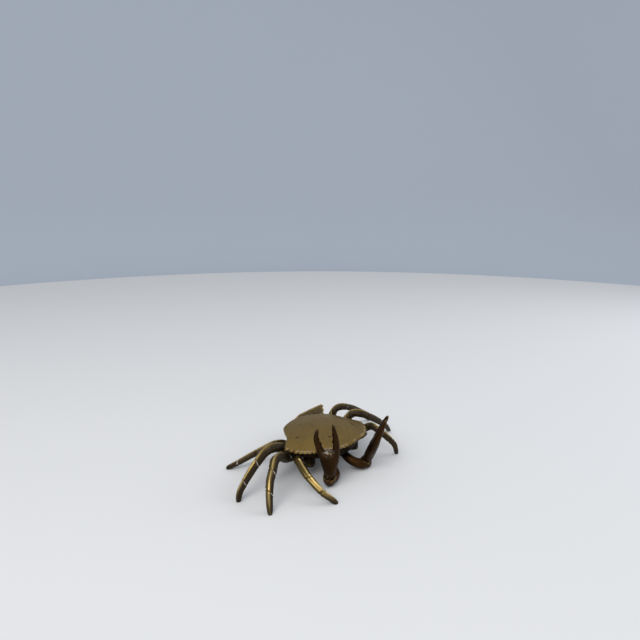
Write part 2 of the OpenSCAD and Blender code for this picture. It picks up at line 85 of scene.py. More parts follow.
def unit(v):
    return v / np.linalg.norm(v)


def bell(t, centre, width):
    return exp(-((t - centre) / width) ** 2)


def circle(sides):
    """Cosine and sine of each direction round a ring."""
    return [(cos(a), sin(a)) for a in (2 * pi * k / sides for k in range(sides))]


def curve(points, u):
    """Position on the smooth curve through a list of points, u from 0 to the last index."""
    last = len(points) - 1
    i = min(int(u), last - 1)
    t = u - i
    a, b, c, d = (np.array(points[min(max(k, 0), last)], float) for k in (i - 1, i, i + 1, i + 2))
    return 0.5 * (2 * b + (c - a) * t + (2 * a - 5 * b + 4 * c - d) * t ** 2
                  + (3 * b - a - 3 * c + d) * t ** 3)


# Sizes and colours that a user would change


def length(name, description, default):
    """A length property whose default is in millimetres."""
    return FloatProperty(name=name, description=description, default=default * MM, unit="LENGTH")


def tint(name, description, default):
    """A colour property."""
    return FloatVectorProperty(name=name, description=description, default=default,
                               subtype="COLOR", size=3, min=0, max=1)


def strength(name, description, default):
    """A light's power or strength."""
    return FloatProperty(name=name, description=description, default=default, min=0)


class CrabSizes(bpy.types.PropertyGroup):
    """Sizes of the castings"""

    leg_width: length("Leg width", "Width of a leg at the thigh", 8.2)
    leg_height: length("Leg height", "Height of a leg at the thigh", 7.6)
    foot_width: length("Foot width", "Width of a leg just above its foot", 4.4)
    joint_depth: length("Joint line depth", "Depth of the incised joint lines", 0.5)
    bead_depth: length("Bead depth", "How far each bead stands out of the front margin", 0.9)
    bead_rise: length("Bead rise", "How high each bead stands on the plate", 0.45)
    beads: IntProperty(name="Beads", description="Number of beads along each front side margin",
                       default=14, min=6, max=24)
    cast_grain: length("Cast grain", "Unevenness of the cast surface", 0.09)
    skin: length("Skin size", "Mesh size of the blended claw castings", 0.36)


class CrabFinish(bpy.types.PropertyGroup):
    """Colours of the aged brass, and the dark colour of its painted shade"""

    shell: tint("Carapace brass", "Olive-brown brass of the carapace", (0.31, 0.198, 0.056))
    leg: tint("Leg brass", "Aged brass of the legs", (0.102, 0.066, 0.019))
    claw: tint("Claw brass", "Brown brass of the claws", (0.042, 0.019, 0.006))
    tail: tint("Tail brass", "Greyish brass of the tail plate", (0.28, 0.22, 0.135))
    # Nearly black: the pan's tarnish, and painted shade of the hollow under the carapace
    pan: tint("Pan brass", "Tarnished brass of the pan", (0.022, 0.014, 0.007))
    rubbed: tint("Rubbed gold", "Bright brass on rubbed ridges", (0.60, 0.425, 0.155))
    # Tarnish in pits and hollows, and also the painted shade on undersides, on the legs' front flanks and
    # roots, and on the arms under the carapace
    tarnish_and_shade: tint("Tarnish", "Dark tarnish in recesses and below", (0.020, 0.012, 0.005))
    residue: tint("Polish residue", "Pale dried polish in grooves", (0.42, 0.38, 0.32))


class CrabStage(bpy.types.PropertyGroup):
    """Floor, backdrop and lights"""

    floor: tint("Floor", "Colour of the floor", (0.62, 0.62, 0.62))
    wall: tint("Wall", "Colour of the backdrop", (0.42, 0.46, 0.52))
    key_power: strength("Key light", "Power of the large soft light", 9.0)
    fill_power: strength("Fill light", "Power of the fill light", 4.0)
    sky: strength("Sky", "Strength of the world's even light", 0.75)


# Materials


class Wire:
    """A node's output that Python's operators turn into Math nodes."""

    def __init__(self, finish, socket):
        self.finish = finish
        self.socket = socket

    def maths(self, operation, *values, clamp=False):
        settings = {"operation": operation, "use_clamp": clamp}
        return self.finish.wire("ShaderNodeMath", 0, settings, dict(enumerate(values)))

    def __add__(self, other):
        return self.maths("ADD", self, other)

    __radd__ = __add__

    def __sub__(self, other):
        return self.maths("SUBTRACT", self, other)

    def __rsub__(self, other):
        return self.maths("SUBTRACT", other, self)

    def __mul__(self, other):
        return self.maths("MULTIPLY", self, other)

    __rmul__ = __mul__

    def limited(self):
        """The same value, kept between 0 and 1."""
        return self.maths("ADD", self, 0.0, clamp=True)

    def ramp(self, low, high):
        """0 below low, 1 above high, smooth between them."""
        return self.finish.wire("ShaderNodeMapRange", 0, {"interpolation_type": "SMOOTHSTEP"},
                                {"Value": self, "From Min": low, "From Max": high})


class Finish:
    """A material under construction."""

    def __init__(self, name):
        self.material = bpy.data.materials.new(name)
        self.material.use_nodes = True
        self.tree = self.material.node_tree
        self.tree.nodes.clear()

    def node(self, kind, settings=None, inputs=None):
        """A node of a kind, with its settings and then the values or links of its sockets."""
        made = self.tree.nodes.new(kind)
        for name, value in (settings or {}).items():
            setattr(made, name, value)
        for name, value in (inputs or {}).items():
            if isinstance(value, Wire):
                self.tree.links.new(value.socket, made.inputs[name])
            else:
                made.inputs[name].default_value = value
        return made

    def wire(self, kind, output, settings=None, inputs=None):
        return Wire(self, self.node(kind, settings, inputs).outputs[output])

    def facing_up(self):
        """The upward share of the surface's own direction, from -1 to 1."""
        normal = self.wire("ShaderNodeTexCoord", "Normal")
        return self.wire("ShaderNodeSeparateXYZ", "Z", inputs={"Vector": normal})

    def patches(self, size, detail=3.0, rough=0.55, stretch=None):
        """Noise from 0 to 1 whose patches are about size metres wide."""
        where = self.wire("ShaderNodeTexCoord", "Object")
        if stretch:
            where = self.wire("ShaderNodeMapping", "Vector", inputs={"Vector": where, "Scale": stretch})
        inputs = {"Vector": where, "Scale": 1 / size, "Detail": detail, "Roughness": rough}
        return self.wire("ShaderNodeTexNoise", 0, inputs=inputs)

    def mark(self, name):
        """A mark that the mesh carries, such as wear, from 0 to 1."""
        return self.wire("ShaderNodeAttribute", "Fac", {"attribute_type": "GEOMETRY", "attribute_name": name})

    def mix(self, share, first, second):
        """A colour between two colours. A Mix node's colour sockets go by number: 6 and 7 in, 2 out."""
        return self.wire("ShaderNodeMix", 2, {"data_type": "RGBA"}, {0: share, 6: first, 7: second})

    def close(self, **sockets):
        """Ends the material in a Principled shader."""
        names = {name.replace("_", " ").title(): value for name, value in sockets.items()}
        shader = self.node("ShaderNodeBsdfPrincipled", inputs=names)
        output = self.node("ShaderNodeOutputMaterial")
        self.tree.links.new(shader.outputs[0], output.inputs[0])
        return self.material


def rgb(colour, factors=(1, 1, 1)):
    """A colour, with each part times its factor, as a socket takes it."""
    return (*(part * factor for part, factor in zip(colour, factors)), 1.0)


# Widths of the brass's patches, in metres
CLOUD, BROAD, SMALL, STREAK, PIT, GRAIN = (width * MM for width in (34, 14, 2.6, 1.1, 1.5, 0.5))
RELIEF = 0.12 * MM
GOLDEN = (1.22, 1.18, 1.0)
DULL = (0.45, 0.43, 0.42)
# Stretches that draw streaks out along the crab's width
TAIL_STREAKS = (0.12, 1.0, 1.0)
PIN_STREAKS = (0.1, 1.0, 1.0)


def aged_brass_with_painted_shade(name, base, below, gloss, marked=True, streaks=None, mottle=0.5):
    """Aged cast brass: mottled, darkened underneath as painted shade, rubbed bright on ridges, with pale
    residue in grooves.

    below is how dark the painted shade on its underside is, gloss its least roughness. marked: its mesh
    carries MARKS."""
    finish = bpy.context.scene.crab_finish
    tarnish_and_shade = rgb(finish.tarnish_and_shade)
    f = Finish(name)
    broad = f.patches(BROAD, 4.0)
    small = f.patches(SMALL, 4.0, 0.6)
    grain = f.patches(GRAIN, 3.0, 0.6)
    # Painted shade: surfaces that face down, and a little those that face sideways, go towards the dark
    # colour as far as below says
    under = 1 - f.facing_up().ramp(-0.85, 0.25)
    darker = (broad.ramp(0.42, 0.66) * mottle + small.ramp(0.5, 0.75) * 0.3).limited()
    golden = f.patches(CLOUD, 2.0).ramp(0.40, 0.66) * 0.45
    tone = f.mix(golden, rgb(base), rgb(base, GOLDEN))
    colour = f.mix(darker, tone, rgb(base, DULL))
    pits = f.patches(PIT, 2.0).ramp(0.66, 0.73) * 0.7
    colour = f.mix(pits, colour, tarnish_and_shade)
    if streaks:
        lines = f.patches(STREAK, 2.0, 0.5, stretch=streaks)
        colour = f.mix(lines.ramp(0.45, 0.7) * 0.55, colour, tarnish_and_shade)
    # Painted shade on the underside
    colour = f.mix((under * below).limited(), colour, tarnish_and_shade)
    rough = gloss + 0.16 * small + 0.1 * broad
    metal = 1 - 0.1 * darker
    if marked:
        worn = (f.mark("wear") * (0.45 + 0.9 * small)).limited()
        # Tarnish in hollows, together with the painted shade that the recess mark carries
        hollows_and_shade = (f.mark("recess_and_shade") * (0.5 + 0.8 * small)).limited()
        pale = (f.mark("residue") * small.ramp(0.30, 0.52)).limited()
        colour = f.mix(hollows_and_shade, colour, tarnish_and_shade)
        colour = f.mix(worn, colour, rgb(finish.rubbed))
        colour = f.mix(pale, colour, rgb(finish.residue))
        rough = (rough - 0.14 * worn + 0.35 * pale + 0.12 * hollows_and_shade).limited()
        metal = (metal - 0.85 * pale - 0.3 * hollows_and_shade).limited()
    height = grain + 0.5 * small - 0.8 * pits
    relief = {"Height": height, "Distance": RELIEF, "Strength": 0.35}
    bump = f.wire("ShaderNodeBump", "Normal", inputs=relief)
    return f.close(base_color=colour, metallic=metal, roughness=rough, normal=bump)


# Mesh makers


def linked(name, data):
    """An object with its data, in the scene."""
    obj = bpy.data.objects.new(name, data)
    bpy.context.scene.collection.objects.link(obj)
    return obj


def new_object(name, verts, faces):
    """An object from points in millimetres."""
    mesh = bpy.data.meshes.new(name)
    mesh.from_pydata([tuple(float(c) * MM for c in v) for v in verts], [], faces)
    return linked(name, mesh)


def set_marks(mesh, marks):
    """Stores a mesh's marks, given as one list of values for each name in MARKS."""
    for name, values in zip(MARKS, marks):
        attribute = mesh.attributes.new(name, "FLOAT", "POINT")
        attribute.data.foreach_set("value", np.array(values, np.float32))


def casting(name, verts, faces, marks, material, body, slot, node):
    """A finished casting that stands for a node of the construction."""
    obj = new_object(name, verts, faces)
    obj.data.validate()
    set_marks(obj.data, marks)
    return dress(obj, material, body, slot, node)


def coat(obj, material):
    """Puts one material on a piece, and shades it smooth."""
    obj.data.materials.clear()
    obj.data.materials.append(material)
    obj.data.polygons.foreach_set("use_smooth", [True] * len(obj.data.polygons))
    obj.data.update()


def dress(obj, material, body, slot, node):
    """Puts a material on a piece, and the piece on its body in place of its node."""
    coat(obj, material)
    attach(obj, body)
    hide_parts(node)
    return obj


def outward_faces(obj, level_at_table=False):
    """Turns every face of a closed mesh outwards. It is first cut level at the table, if asked."""
    bm = bmesh.new()
    bm.from_mesh(obj.data)
    if level_at_table:
        geometry = bm.verts[:] + bm.edges[:] + bm.faces[:]
        bmesh.ops.bisect_plane(bm, geom=geometry, plane_co=(0, 0, 0), plane_no=(0, 0, 1), clear_inner=True)
        rim = [e for e in bm.edges if e.is_boundary]
        if rim:
            bmesh.ops.edgeloop_fill(bm, edges=rim)
    bmesh.ops.recalc_face_normals(bm, faces=bm.faces)
    bm.to_mesh(obj.data)
    bm.free()


def ring_faces(rings, sides, closed_ends=True):
    """Faces that join rings of points into a tube."""
    faces = []
    for i in range(rings - 1):
        for k in range(sides):
            a, b = i * sides + k, i * sides + (k + 1) % sides
            faces.append((a, b, b + sides, a + sides))
    if closed_ends:
        faces.append(tuple(range(sides - 1, -1, -1)))
        faces.append(tuple((rings - 1) * sides + k for k in range(sides)))
    return faces


def joined(*parts):
    """Several (points, faces) parts as one."""
    verts, faces = [], []
    for points, shapes in parts:
        first = len(verts)
        verts += list(points)
        faces += [tuple(first + i for i in face) for face in shapes]
    return verts, faces


def with_parts(verts, faces, marks, parts, values):
    """Adds closed parts to a marked mesh. Each mark has one value all over them."""
    count = len(verts)
    verts, faces = joined((verts, faces), *parts)
    marks = [list(mark) + [value] * (len(verts) - count) for mark, value in zip(marks, values)]
    return verts, faces, marks


def disc(x, y, radius, low, high, sides=40, edge=0.35):
    """A flat disc with rounded edges."""
    bevel = 0.3 * edge
    profile = [(radius - edge, low), (radius - bevel, low + bevel), (radius, low + edge),
               (radius, high - edge), (radius - bevel, high - bevel), (radius - edge, high)]
    verts = [(x + r * ca, y + r * sa, z) for r, z in profile for ca, sa in circle(sides)]
    return verts, ring_faces(len(profile), sides)


def ball(centre, radii, sides=28):
    """A round ball of points, with its radius along each axis."""
    rings = sides // 2
    verts = []
    for i in range(1, rings):
        b = pi * i / rings
        for ca, sa in circle(sides):
            verts.append((centre[0] + radii[0] * sin(b) * ca, centre[1] + radii[1] * sin(b) * sa,
                          centre[2] - radii[2] * cos(b)))
    return verts, ring_faces(rings - 1, sides)


def slab(low, high, edge=0.3):
    """A block with bevelled edges between two corners."""
    bm = bmesh.new()
    bmesh.ops.create_cube(bm, size=1.0)
    for v in bm.verts:
        for k in range(3):
            v.co[k] = low[k] if v.co[k] < 0 else high[k]
    bmesh.ops.bevel(bm, geom=bm.edges[:], offset=edge, segments=2, profile=0.5, affect="EDGES")
    bm.verts.index_update()
    verts = [tuple(v.co) for v in bm.verts]
    faces = [tuple(v.index for v in f.verts) for f in bm.faces]
    bm.free()
    return verts, faces


def along(path, t):
    """Place, forward, sideways and upward directions at a share t of a path."""
    last, reach = len(path) - 1, 0.02
    u = t * last
    ahead = unit(curve(path, min(u + reach, last)) - curve(path, max(u - reach, 0)))
    across = unit(np.array([-ahead[1], ahead[0], 0.0]))
    return curve(path, u), ahead, across, np.cross(ahead, across)


# The carapace's outline from the middle of the front, past the side point at TIP, to the
# middle of the rear, as shares of its half width and half length
HALF_OUTLINE = [(0, -1.0), (0.24, -0.95), (0.48, -0.85), (0.70, -0.70), (0.88, -0.47), (1.0, -0.13),
                (0.87, 0.04), (0.77, 0.20), (0.70, 0.44), (0.59, 0.70), (0.42, 0.85), (0.21, 0.96), (0, 1.0)]
TIP = 5
# The points before and after the side point, each run on past the middle so that it crosses square
FRONT = [(-0.24, -0.95)] + HALF_OUTLINE[:TIP + 1]
REAR = HALF_OUTLINE[TIP:] + [(-0.21, 0.96)]


def margin(u):
    """A point of the outline's left half, as shares; u counts along its listed points."""
    return curve(FRONT, 1 + u) if u <= TIP else curve(REAR, u - TIP)


def pan_edge():
    """The pan's side from above as an array of points, a hair wider than it is."""
    inset, steps = PAN_INSET - 0.03, 6
    shares = [margin(i / steps) for i in range((len(HALF_OUTLINE) - 1) * steps + 1)]
    half = [(x * (HALF_W - inset), MID_Y + y * (HALF_L - inset)) for x, y in shares]
    return np.array(half + [(-x, y) for x, y in half[-2:0:-1]])


def inside(polygon, x, y):
    """Whether a point lies inside a polygon."""
    hit = False
    for (x0, y0), (x1, y1) in zip(polygon, np.roll(polygon, -1, axis=0)):
        if (y0 > y) != (y1 > y) and x < (x1 - x0) * (y - y0) / (y1 - y0) + x0:
            hit = not hit
    return hit


def clear_of_pan(point, edge):
    """A point moved down out of the pan's bowl, if it lies in it."""
    x, y, z = point
    bowl = PAN_R + 0.06
    away = np.array([x, y - MID_Y, z - BOWL_Z])
    far = np.linalg.norm(away)
    if far < bowl and z > SEAT_Z - 1 and inside(edge, x, y):
        away *= bowl / far
        return (away[0], away[1] + MID_Y, away[2] + BOWL_Z)
    return (x, y, z)


def dome(x, y, radius=DOME_R):
    return DOME_Z + sqrt(radius ** 2 - x ** 2 - (y - MID_Y) ** 2)


# Carapace

DIMPLES = [(-23.3, 6.0), (-4.7, -9.3), (24.5, -1.0)]
DIMPLE_DEPTH, DIMPLE_R, DIMPLE_DARK_R = 0.55, 1.1, 1.2
# Width of the rim that follows the beads
MARGIN_ZONE = 3.0
BEAD_STEPS, REAR_STEPS, INNER_RINGS = 12, 18, 27
# Insets of the margin's rings under the plate, and on it
UNDER_INSETS = (2.2, 1.4, 0.8)
TOP_INSETS = (0.25, 0.6, 0.95, 1.3, 1.7, 2.2)


def carapace_margin(beads):
    """The outline's shares, with the outward direction and the share of a bead at each point."""
    stops = [(i * TIP / (beads * BEAD_STEPS), abs(sin(pi * i / BEAD_STEPS)) ** 0.6)
             for i in range(beads * BEAD_STEPS)]
    rear_count = (len(HALF_OUTLINE) - 1 - TIP) * REAR_STEPS
    stops += [(TIP + i / REAR_STEPS, 0.0) for i in range(rear_count + 1)]
    left = [(*margin(u), lobe) for u, lobe in stops]
    whole = np.array(left + [(-x, y, lobe) for x, y, lobe in left[-2:0:-1]])
    shares = whole[:, :2]
    ring = shares * (HALF_W, HALF_L)
    ahead = np.roll(ring, -1, axis=0) - np.roll(ring, 1, axis=0)
    out = np.stack([ahead[:, 1], -ahead[:, 0]], axis=1)
    out /= np.linalg.norm(out, axis=1)[:, None]
    return shares, out, whole[:, 2]


def dimple(x, y, radius):
    """Share of a dimple at a place on the plate."""
    return sum(exp(-((x - cx) ** 2 + (y - cy) ** 2) / radius ** 2) for cx, cy in DIMPLES)


def plate_relief(x, y):
    """Gentle unevenness of the cast plate, with its dimples."""
    waves = 0.16 * seeded((x, y, 0), 13.0, 3.0) + 0.05 * seeded((x, y, 0), 4.0, 9.0)
    return waves - DIMPLE_DEPTH * dimple(x, y, DIMPLE_R)


def carapace_mesh(sizes):
    """Points, faces and marks of the domed plate with its beaded margin."""
    shares, out, lobe = carapace_margin(sizes.beads)
    depth, rise = sizes.bead_depth / MM, sizes.bead_rise / MM
    half_t = PLATE_T / 2
    verts, wear, recess_and_shade, residue = [], [], [], []

    def margin_ring(inset, level, top):
        """A ring of points at an inset from the margin; level is -1 under and 1 on the plate."""
        bulge = bell(inset, 0.8, 0.7) if top else 0.0
        fade = bell(inset, 0, 0.9)
        edge = bell(inset, 0.5, 0.8)
        for (sx, sy), (ox, oy), bead in zip(shares, out, lobe):
            beaded = bead > 0
            x = sx * (HALF_W - inset) + ox * bead * depth * fade
            y = MID_Y + sy * (HALF_L - inset) + oy * bead * depth * fade
            lift = plate_relief(x, y) * min(inset / MARGIN_ZONE, 1) if top else 0.0
            knob = rise * bulge * (bead - 0.3) * beaded
            verts.append((x, y, dome(x, y, DOME_R - half_t) + level * half_t + lift + knob))
            rub = 0.5 + 0.9 * seeded((x, y, 0), 5.0, 6.0)
            wear.append(edge * rub * (0.26 * bead if beaded else 0.2))
            recess_and_shade.append(0.9 * beaded * max(0.0, 1 - bead * 1.7) * edge)
            residue.append(0.9 * beaded * max(0.0, 1 - abs(bead - 0.45) * 3.2) * edge * (rub > 0.45))

    def inner_ring(scale, top):
        """A ring nearer the middle of the plate, inside the margin's zone."""
        for sx, sy in shares:
            x, y = sx * (HALF_W - MARGIN_ZONE) * scale, MID_Y + sy * (HALF_L - MARGIN_ZONE) * scale
            height = dome(x, y) + plate_relief(x, y) if top else dome(x, y, DOME_R - PLATE_T)
            verts.append((x, y, height))
            wear.append(0.0)
            recess_and_shade.append(min(1.0, 1.4 * dimple(x, y, DIMPLE_DARK_R)) if top else 0.4)
            residue.append(0.0)

    scales = [0.02 + 0.98 * (k / (INNER_RINGS - 1)) ** 0.9 for k in range(INNER_RINGS)]
    for scale in scales:
        inner_ring(scale, False)
    for inset in UNDER_INSETS:
        margin_ring(inset, -1, False)
    for k in range(1, 6):
        a = pi * k / 6
        margin_ring(half_t * (1 - sin(a)), -cos(a), False)
    for inset in TOP_INSETS:
        margin_ring(inset, 1, True)
    for scale in reversed(scales):
        inner_ring(scale, True)
    return verts, ring_faces(len(verts) // len(shares), len(shares)), (wear, recess_and_shade, residue)


def knuckle_block(x0, x1, reach):
    """A hinge knuckle with its bore. reach gives its outer radius at a place along and a direction."""
    sides, bevel = 64, 0.35
    verts = []
    for x, less in ((x0, bevel), (x0 + bevel, 0.0), (x1 - bevel, 0.0), (x1, bevel)):
        for ca, sa in circle(sides):
            r = reach(x, ca, sa) - less
            verts.append((x, PIN_Y + r * ca, PIN_Z + r * sa))
    verts += [(x, PIN_Y + BORE_R * ca, PIN_Z + BORE_R * sa) for x in (x1, x0) for ca, sa in circle(sides)]
    rings = len(verts) // sides
    last = (rings - 1) * sides
    faces = ring_faces(rings, sides, closed_ends=False)
    return verts, faces + [(last + k, last + (k + 1) % sides, (k + 1) % sides, k) for k in range(sides)]


LID_KNUCKLE = (-8.5, 8.5)
WEB_BACK = 0.8


def lid_knuckle_reach(x, dy, dz):
    """Round below, and up to the plate between its two web faces."""
    if dz <= 0.05:
        return KNUCKLE_R
    ceiling = max(dome(x, y, DOME_R - PLATE_T / 2) for y in (PIN_Y - KNUCKLE_R, PIN_Y + WEB_BACK))
    to_top = (ceiling - PIN_Z - 0.15) / dz
    to_side = (WEB_BACK if dy > 0 else KNUCKLE_R) / max(abs(dy), 1e-6)
    return max(KNUCKLE_R, min(to_top, to_side))


class CRAB_OT_carapace(bpy.types.Operator):
    """Adds the domed carapace lid with its beaded margin and hinge knuckle"""

    bl_idname = "crab.carapace"
    bl_label = "Add Carapace"

    def execute(self, context):
        shell = context.scene.crab_finish.shell
        brass = aged_brass_with_painted_shade("carapace_brass", shell, below=0.8, gloss=0.30, mottle=0.35)
        knuckle = knuckle_block(*LID_KNUCKLE, lid_knuckle_reach)
        made = with_parts(*carapace_mesh(context.scene.crab_sizes), [knuckle], (0.1, 0.4, 0.0))
        outward_faces(casting("carapace_casting", *made, brass, "lid", "shell_brass", "carapace_lid"))
        return {"FINISHED"}


# Legs

LEG_ROOTS = [(21.0, -6.5), (22.0, 2.5), (20.0, 11.5), (15.0, 20.5)]
LEG_START = (HALF_W - 0.5, MID_Y + 1.5)
FRONT_BENDS = [[-10.5, -12, 14.1], [-5, -15, 16.5], [-2.5, -22.5, 16.2], [-1, -31.5, 14],
               [-1.5, -39.5, 11], [-3.5, -46, 7], [-7, -50.5, 3.5], [-10.5, -53, -0.4]]
# Each leg: its root, its side, its girth, how much of it there is, and its bends
# measured from LEG_START on its own side
LEGS = {
    "right_rear_leg": (3, -1, 0.76, 1.0, [
        [-14, 13.5, 13], [-9.5, 14.8, 15.2], [-3, 16.2, 15.6], [5, 18.2, 13],
        [13, 21.5, 9.5], [21, 25, 5.4], [27, 28.6, 1.9], [29.2, 31, -0.4]]),
    "right_third_leg": (2, -1, 0.96, 1.0, [
        [-9.5, 3.8, 14.6], [0, 1.7, 20.2], [9, -1.6, 23.9], [16.5, -4.6, 24.3], [23, -6.6, 21],
        [30, -8.5, 16], [35.5, -9.8, 11], [39.7, -10.8, 5.5], [41.5, -11.5, -0.4]]),
    "right_second_leg": (1, -1, 0.9, 1.0, [
        [-7.5, -5.2, 13.4], [1.2, -7.8, 16.4], [8.2, -11.8, 21.8], [15, -16.4, 23], [20.5, -22, 20],
        [25.5, -27, 16], [28.5, -31, 11], [30, -33.5, 5.5], [31.5, -36.5, -0.4]]),
    "right_front_leg": (0, -1, 0.82, 1.0, FRONT_BENDS),
    "left_front_leg_stub": (0, 1, 0.82, 0.25, FRONT_BENDS),
    "left_rear_leg": (3, 1, 0.86, 1.0, [
        [-10.5, 18, 13.5], [-6, 23.5, 19], [-2, 23.6, 24.4], [4, 21.2, 25.6],
        [14, 21, 21.6], [26, 24, 14.6], [34, 25.8, 8.6], [42.5, 28, -0.4]]),
    "left_third_leg": (2, 1, 0.92, 1.0, [
        [-9, 6, 15], [-1.5, 9, 20.8], [3.5, 6.8, 24.8], [8.5, 2.6, 24.6], [14, 0.3, 21.6],
        [21, -0.5, 17.3], [29, -1, 11.5], [35.4, -0.8, 6.4], [42, 1.5, -0.4]]),
    "left_second_leg": (1, 1, 0.86, 1.0, [
        [-7.5, -4.6, 13.4], [0, -6.4, 15.4], [4.9, -12.5, 20.0], [5.4, -19.8, 20.2],
        [9, -28.3, 15], [14, -31.5, 8], [17, -31, -0.4]]),
}
LEG_SIDES = 36
LEG_JOINTS = (0.34, 0.56, 0.76)
# Rings beside a joint line, in millimetres from it, and the usual distance between rings
JOINT_RINGS = (-1.2, -0.8, -0.5, -0.3, -0.12, 0, 0.12, 0.3, 0.5, 0.8, 1.2)
LEG_STEP = 0.75
JOINT_HALF_W, LIP_AWAY, LIP_HALF_W, LIP_RISE = 0.36, 1.15, 0.6, 0.12
# How far the joint lines lean along the leg, as a share of its half width
LEG_SLANT = 0.8
FOOT_FROM = 0.9


def leg_taper(t, sizes):
    """Width of a leg along it as a share, with faint swellings."""
    thin = sizes.foot_width / sizes.leg_width
    return 1 - (1 - thin) * t ** 1.2 + 0.06 * bell(t, 0.45, 0.09) + 0.04 * bell(t, 0.66, 0.08)


def foot_round(t):
    return 1.0 if t < FOOT_FROM else sqrt(max(1 - ((t - FOOT_FROM) / 0.115) ** 2, 0.02))


def leg_section(a):
    """Shape of a leg across: a ridge along its top and flattened flanks. a is the angle from the side."""
    flank = 1 - 0.13 * bell(abs(a - pi / 2), 0.80, 0.34)
    return flank * cos(a), flank * sin(a) + 0.16 * max(sin(a), 0) ** 10


def leg_stations(last, reach):
    """Shares of a leg's length for its rings, close together at the joint lines and in the foot."""
    shares = set(np.round(np.linspace(0, last, int(last * reach / LEG_STEP)), 5))
    beside = [joint + off / reach for joint in LEG_JOINTS for off in JOINT_RINGS]
    shares |= {round(t, 5) for t in beside if t < last}
    if last == 1.0:
        shares |= set(np.round(np.linspace(FOOT_FROM, 1.0, 18), 5))
    return sorted(shares)


def leg_marks(t, forward, low, groove, patch, seed, side, p, c):
    """Wear, recess and residue at a point p of a leg, whose middle line is at c. Part of the recess is
    painted shade.
    """
    ridge = bell(forward, -0.06, 0.23)
    behind = 0.3 * bell(forward, -0.70, 0.5)
    front_flank = bell(forward, 1.05, 0.72)
    toe = min(max((t - 0.80) / 0.13, 0), 1)
    open_out = min(t / 0.15, 1)
    wear = (ridge + behind) * patch * (1 - 0.85 * toe) * (1 - 0.5 * groove) * open_out
    # Recess: tarnish in the joint lines, darker towards the foot, and painted shade on the underside (low),
    # on the front flank and at the root under the pan
    recess_and_shade = max(0.25 * groove, toe, 1 - open_out, max(0.0, low) ** 1.2, 1.15 * front_flank)
    chalky = bell(t, 0.15, 0.03) * (low < -0.2) * (seeded(p, 3.0, seed) > 0.0)
    line = (1.3 if side < 0 else 0.5) * groove * front_flank * (seeded(c, 9.0, seed + 5) > -0.12)
    return wear, recess_and_shade, line + 0.6 * chalky


def leg_mesh(name, sizes):
    """Points, faces and marks of one leg casting."""
    root_index, side, girth, last, bends = LEGS[name]
    root_x, root_y = side * LEG_ROOTS[root_index][0], LEG_ROOTS[root_index][1]
    path = [(root_x, root_y, SEAT_Z - ROOT_T / 2)]
    path += [(side * (LEG_START[0] + x), LEG_START[1] + y, z) for x, y, z in bends]
    spans = [k / 4 for k in range((len(path) - 1) * 4)]
    reach = sum(np.linalg.norm(curve(path, u + 0.25) - curve(path, u)) for u in spans)
    edge = pan_edge()
    grain, joint_depth = sizes.cast_grain / MM, sizes.joint_depth / MM
    seed = 7.0 * root_index + (3.5 if side > 0 else 0.0)
    stations = leg_stations(last, reach)
    verts, marks = [], []
    for t in stations:
        c, ahead, across, up = along(path, t)
        gap = min(abs(t - joint) for joint in LEG_JOINTS) * reach
        groove = bell(gap, 0, JOINT_HALF_W)
        sink = joint_depth * groove - LIP_RISE * bell(gap, LIP_AWAY, LIP_HALF_W)
        open_out = min(t / 0.15, 1)
        w = girth * sizes.leg_width / MM * leg_taper(t, sizes) * foot_round(t)
        h = girth * sizes.leg_height / MM * leg_taper(t, sizes) * foot_round(t)
        h = ROOT_T * (1 - open_out) + h * open_out
        slant = LEG_SLANT * min(t / 0.2, 1) * min((1 - t) / 0.15, 1)
        for k in range(LEG_SIDES):
            a = 2 * pi * k / LEG_SIDES
            sx, sz = leg_section(a)
            p = c + w / 2 * sx * across + h / 2 * sz * up
            rough = grain * (seeded(p, 2.2, seed) + 0.6 * seeded(p, 6.0, seed + 1))
            grow = 1 + (rough - sink) / (0.25 * (w + h))
            p = c + grow * w / 2 * sx * across + grow * h / 2 * sz * up
            if last < 1 and t > last - 0.03:
                p = p + ahead * 1.1 * seeded(p, 2.4, 5.0)
            p = p + slant * grow * w / 2 * sx * ahead
            verts.append(clear_of_pan(p, edge))
            forward = side * (a - pi / 2)
            patch = 1.0 + 0.6 * seeded(p, 9.0, seed + 3)
            marks.append(leg_marks(t, forward, -sz, groove, patch, seed, side, p, c))
    # The root disc under the pan is darkened as painted shade
    pad = disc(root_x, root_y, ROOT_R, SEAT_Z - ROOT_T, SEAT_Z - 0.01)
    return with_parts(verts, ring_faces(len(stations), LEG_SIDES), zip(*marks), [pad], (0.0, 0.7, 0.0))


class CRAB_OT_legs(bpy.types.Operator):
    """Adds the eight leg castings, one of them a broken stub"""

    bl_idname = "crab.legs"
    bl_label = "Add Legs"

    def execute(self, context):
        brass = aged_brass_with_painted_shade("leg_brass_aged_and_shaded", context.scene.crab_finish.leg, below=0.85, gloss=0.30)
        for name in LEGS:
            made = leg_mesh(name, context.scene.crab_sizes)
            leg = casting(name + "_casting", *made, brass, "body", "leg_brass", name)
            outward_faces(leg, level_at_table=True)
        return {"FINISHED"}


# Claws

ARM_ROOT = (8.5, MID_Y - 15.5)
# Each hand: its lean, the lean's direction out from straight ahead, and its wrist
HANDS = {"right": (5.0, 40.0, (18.0, -26.4, 6.6)), "left": (24.0, 10.0, (19.0, -24.4, 6.6))}
CLAW_TURN = 37.0
PALM_W, PALM_T, PALM_L, FINGER_L = 14.0, 7.4, 21.0, 22.5
OUTER_SHARE = 0.86
# Rings of the palm: height, width and thickness as shares of its sizes
PALM_RINGS = [(0.02, 0.54, 0.84), (0.10, 0.55, 0.92), (0.30, 0.66, 1.0), (0.52, 0.84, 1.0),
              (0.74, 0.98, 0.98), (0.90, 1.0, 0.92), (1.0, 0.92, 0.80), (1.05, 0.70, 0.55)]
